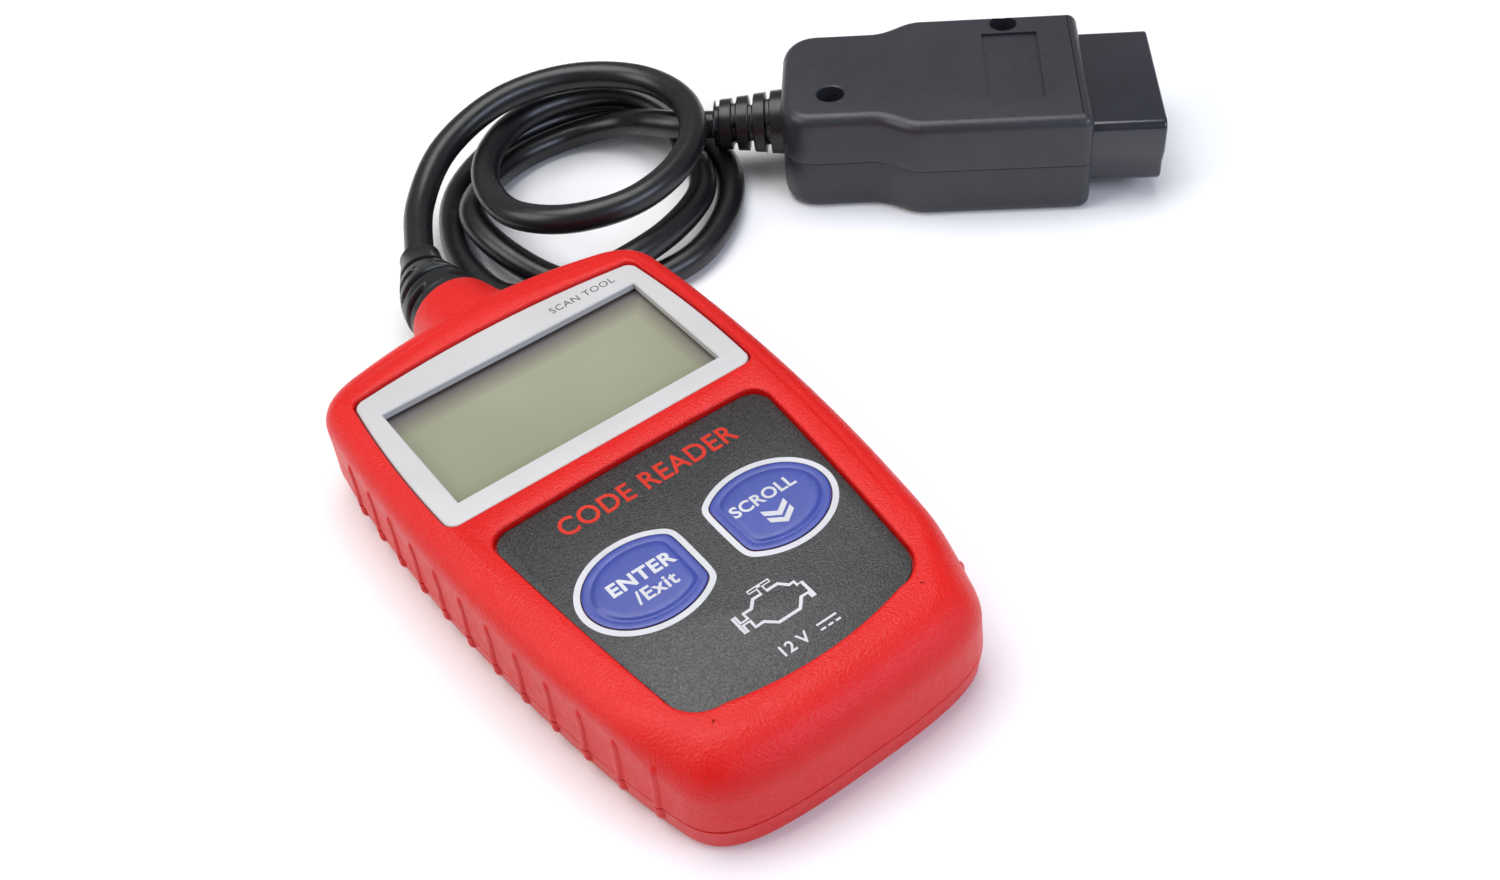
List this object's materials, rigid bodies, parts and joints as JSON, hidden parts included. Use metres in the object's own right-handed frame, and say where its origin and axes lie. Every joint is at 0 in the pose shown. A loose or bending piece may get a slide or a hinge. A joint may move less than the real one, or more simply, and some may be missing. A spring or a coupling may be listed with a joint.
{
  "type": "OBD code reader",
  "caption": "Handheld vehicle fault-code reader: red ribbed case with display and push keys, and a coiled lead to a flat diagnostic plug.",
  "frame": {"origin": "centre of the unit's footprint, on the back face it lies on", "axes": "+Y towards the end the lead leaves, +Z out of the display face, +X to the right of the display"},
  "size_m": [0.2104, 0.1979, 0.0242],
  "materials": {
    "red_case": "satin moulded ABS with a fine grain",
    "pale_bezel": "satin",
    "lcd": "polished, green-grey",
    "keypad_film": "fine textured printed film",
    "blue_key": "satin",
    "black_rubber": "satin",
    "plug_plastic": "fine matt",
    "shroud_plastic": "semi-gloss",
    "board_laminate": "solder mask",
    "component_black": "moulded epoxy",
    "milky_plastic": "translucent white",
    "bright_steel": "plated",
    "contact_brass": "gold-flashed",
    "rear_label": "printed film"
  },
  "bodies": {
    "unit": {"front_shell": "red_case", "rear_shell": "red_case", "rear_label": "rear_label", "case_screw_1": "bright_steel", "case_screw_2": "bright_steel", "case_screw_3": "bright_steel", "case_screw_4": "bright_steel", "lcd_bezel": "pale_bezel", "lcd_frame": "bright_steel", "lcd_glass": "lcd", "lcd_backlight": "milky_plastic", "zebra_strip": "component_black", "keypad_overlay": "keypad_film", "enter_dome": "bright_steel", "scroll_dome": "bright_steel", "main_pcb": "board_laminate", "microcontroller": "component_black", "bus_transceiver": "component_black", "comparator_chip": "component_black", "crystal": "bright_steel", "voltage_regulator": "component_black", "supply_capacitor": "bright_steel", "cable_header": "milky_plastic", "wire_harness": "component_black", "cord_boot": "black_rubber", "cord": "black_rubber", "plug_upper_shell": "plug_plastic", "plug_lower_shell": "plug_plastic", "plug_screw_1": "bright_steel", "plug_screw_2": "bright_steel", "connector_shroud": "shroud_plastic", "contact_pin_02": "contact_brass", "contact_pin_04": "contact_brass", "contact_pin_05": "contact_brass", "contact_pin_06": "contact_brass", "contact_pin_07": "contact_brass", "contact_pin_10": "contact_brass", "contact_pin_14": "contact_brass", "contact_pin_15": "contact_brass", "contact_pin_16": "contact_brass", "plug_strain_relief": "black_rubber"},
    "enter_key": {"enter_button": "blue_key"},
    "scroll_key": {"scroll_button": "blue_key"}
  },
  "joints": [
    {"name": "enter_button_press", "type": "slide", "parent": "unit", "child": "enter_key", "axis": [0, 0, -1], "range_m": [0, 0.0006], "stiffness_N_per_m": 1500, "deforming": ["enter_dome"]},
    {"name": "scroll_button_press", "type": "slide", "parent": "unit", "child": "scroll_key", "axis": [0, 0, -1], "range_m": [0, 0.0006], "stiffness_N_per_m": 1500, "deforming": ["scroll_dome"]}
  ]
}
